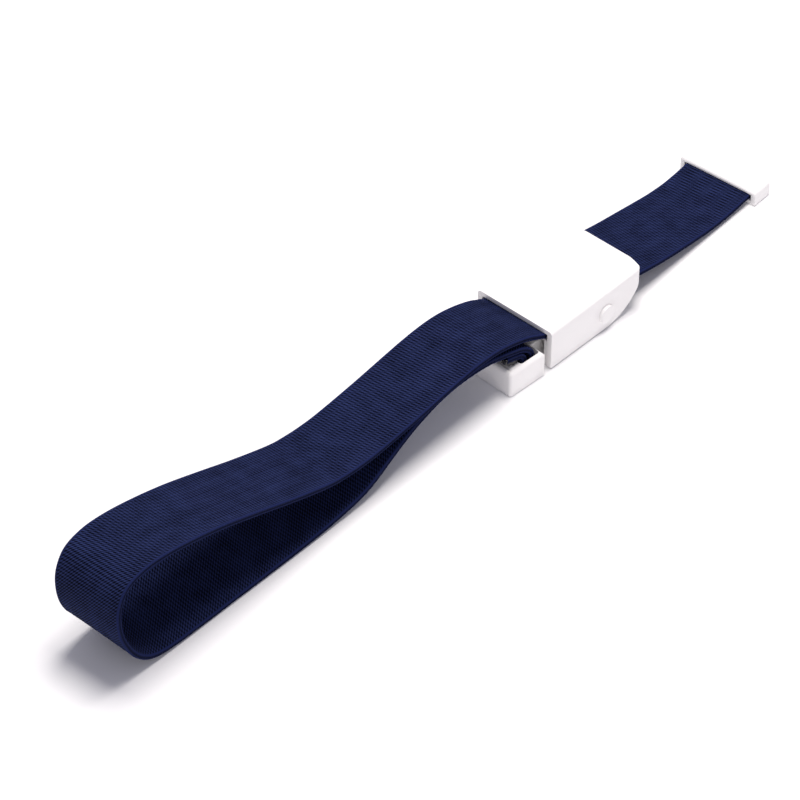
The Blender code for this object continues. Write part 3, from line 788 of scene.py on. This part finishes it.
# ---------------------------------------------------------------- plug
# The plug is moulded from the same white ABS: a pocketed head, and a tongue with two low rails that slides
# into the buckle. A steel bar across the pocket holds the band's sewn end.
HEAD_LENGTH = 14.7
HEAD_HALF = 14.5
HEAD_HEIGHT = 9.3
TONGUE_LENGTH = 13.5
TONGUE_HALF = 7.6
RAIL_HALF = 9.8
RAIL_LOW = 1.8
POCKET_HALF = 13.2
BAR_HALF = 13.6
to_plug = Matrix.Translation(Vector((PLUG_FRONT, PLUG_ASIDE, 0.0)) * MM) @ Matrix.Rotation(PLUG_YAW, 4, "Z")
head = block((-HEAD_LENGTH, -HEAD_HALF, 0.0), (0.0, HEAD_HALF, HEAD_HEIGHT))
round_edges(head, 1.2, lambda a, b: max(a.x, b.x) < -HEAD_LENGTH / 2 and abs(a.z - b.z) > 1, 8)
round_edges(head, 1.4, lambda a, b: min(a.z, b.z) > HEAD_HEIGHT - 0.01, 6)
round_edges(head, 0.35, lambda a, b: max(a.z, b.z) < 0.01, 3)
core = block((-0.5, -TONGUE_HALF, RAIL_LOW), (TONGUE_LENGTH, TONGUE_HALF, 7.4))
round_edges(core, 0.6, lambda a, b: max(a.x, b.x) > 1 or abs(a.x - b.x) > 1, 4)
rails = block((-0.5, -RAIL_HALF, RAIL_LOW), (TONGUE_LENGTH - 1, RAIL_HALF, 3.3))
head = combine(head, "UNION", core, rails)
pocket = block((-8.9, -POCKET_HALF, 0.8), (-0.9, POCKET_HALF, 30.0))
round_edges(pocket, 0.8, lambda a, b: abs(a.z - b.z) > 1, 5)
bar_holes = rod(-BAR_BACK, BAR_HEIGHT, BAR_RADIUS + 0.1, -BAR_HALF - 0.15, BAR_HALF + 0.15)
head = combine(head, "DIFFERENCE", pocket, bar_holes)
head = soften(head, 0.16, 50.0)
bmesh.ops.transform(head, matrix=to_plug, verts=head.verts)
add_piece("plug_moulding", head, moulded_abs, ["plug_body"], "plug")
bar = rod(-BAR_BACK, BAR_HEIGHT, BAR_RADIUS, -BAR_HALF, BAR_HALF, 48)
round_edges(bar, 0.2, lambda a, b: abs(a.y - b.y) < 0.01, 3)
bmesh.ops.transform(bar, matrix=to_plug, verts=bar.verts)
add_piece("plug_crossbar", bar, steel, ["plug_bar"], "plug")


# ---------------------------------------------------------------- end clip
# A moulded ABS clip closes on the band's free end so that it can't fray or slip out through the buckle: two
# jaws joined at the back, with softly rounded outer edges.
CLIP_START = MOUTH + 100.6
CLIP_DEPTH = 8.0
CLIP_HALF = 14.75
CLIP_JAW = 1.4
CLIP_CLEAR = BAND_THICK + 0.5
clip_height = 2 * CLIP_JAW + CLIP_CLEAR
clip_aside = (CLIP_START - MOUTH - TAIL_BEND) * math.tan(TAIL_YAW)
clip = block((0.0, -CLIP_HALF, 0.0), (CLIP_DEPTH, CLIP_HALF, clip_height))
round_edges(clip, 0.8, lambda a, b: min(a.z, b.z) > clip_height - 0.01, 6)
throat = block((-5.0, -13.1, CLIP_JAW), (CLIP_DEPTH - 1.9, 13.1, CLIP_JAW + CLIP_CLEAR))
clip = soften(combine(clip, "DIFFERENCE", throat), 0.15, 50.0)
to_clip = Matrix.Translation(Vector((CLIP_START, clip_aside, 0.0)) * MM) @ Matrix.Rotation(TAIL_YAW, 4, "Z")
bmesh.ops.transform(clip, matrix=to_clip, verts=clip.verts)
add_piece("free_end_clip", clip, moulded_abs, ["end_clip"], "buckle")
